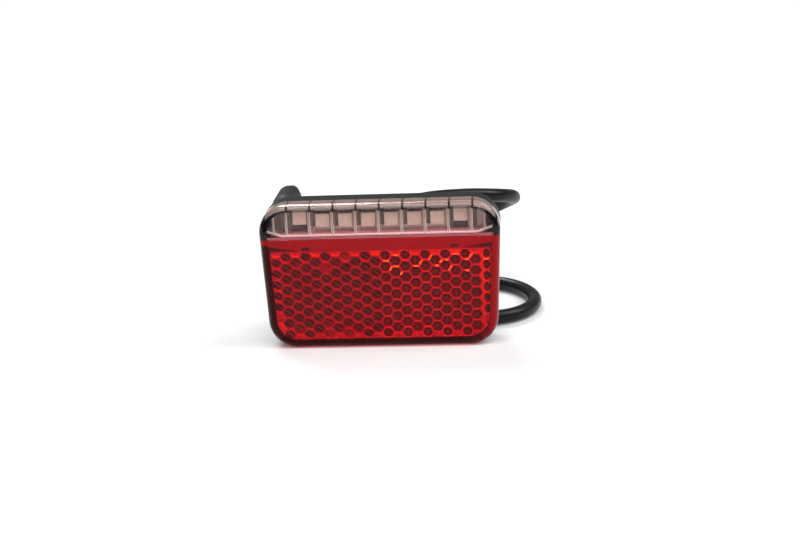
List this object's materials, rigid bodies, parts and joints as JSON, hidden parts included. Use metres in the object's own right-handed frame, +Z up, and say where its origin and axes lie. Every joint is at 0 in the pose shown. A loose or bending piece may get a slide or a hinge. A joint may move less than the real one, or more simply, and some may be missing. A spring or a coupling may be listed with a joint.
{
  "type": "bicycle rear light",
  "caption": "Wired rear light for a bicycle carrier: sealed black housing with rear studs, clear lamp window above a red reflex reflector, and a loose lead that ends in a round plug.",
  "frame": {"origin": "on the standing surface, under the middle of the light's box without its lead and plug", "axes": "+X to the light's right as seen from its front, +Y to the rear along the studs, +Z up"},
  "size_m": [0.1067, 0.192, 0.0455],
  "materials": {
    "housing_plastic": "fine moulded black plastic",
    "seal_rubber": "dark rubber",
    "clear_polycarbonate": "clear polished polycarbonate",
    "red_polycarbonate": "transparent red, polished",
    "reflector_acrylic": "red acrylic with cube-corner prisms",
    "closing_plastic": "dark red plastic",
    "tray_plastic": "clear moulded acrylic",
    "board_laminate": "dark lacquered laminate",
    "lamp_body": "pale moulded plastic",
    "lamp_window": "clear silicone over chips",
    "resistor_ceramic": "black glaze",
    "chip_epoxy": "black epoxy with tinned leads",
    "diode_epoxy": "black epoxy with tinned terminals",
    "capacitor_ceramic": "tan ceramic",
    "wire_red": "red insulation",
    "wire_black": "black insulation",
    "stud_steel": "zinc-plated steel",
    "grommet_rubber": "black rubber",
    "cable_jacket": "black satin jacket",
    "plug_plastic": "black moulded plastic",
    "insert_plastic": "dark grey plastic",
    "contact_brass": "plated brass",
    "silicone": "orange silicone"
  },
  "bodies": {
    "root": {"rear_housing": "housing_plastic", "rim_seal": "seal_rubber", "clear_lens": "clear_polycarbonate", "red_lens": "red_polycarbonate", "reflex_insert": "reflector_acrylic", "reflex_closing_plate": "closing_plastic", "cell_tray": "tray_plastic", "led_board": "board_laminate", "led_packages": "lamp_body", "led_windows": "lamp_window", "current_resistors": "resistor_ceramic", "driver_chip": "chip_epoxy", "polarity_diode": "diode_epoxy", "filter_capacitor": "capacitor_ceramic", "wire_positive": "wire_red", "wire_negative": "wire_black", "mounting_studs": "stud_steel", "stud_seals": "seal_rubber", "cable_grommet": "grommet_rubber", "cable_tail": "cable_jacket", "cable": "cable_jacket", "plug_shell": "plug_plastic", "plug_insert": "insert_plastic", "plug_contacts": "contact_brass", "plug_seal": "silicone"}
  },
  "joints": []
}
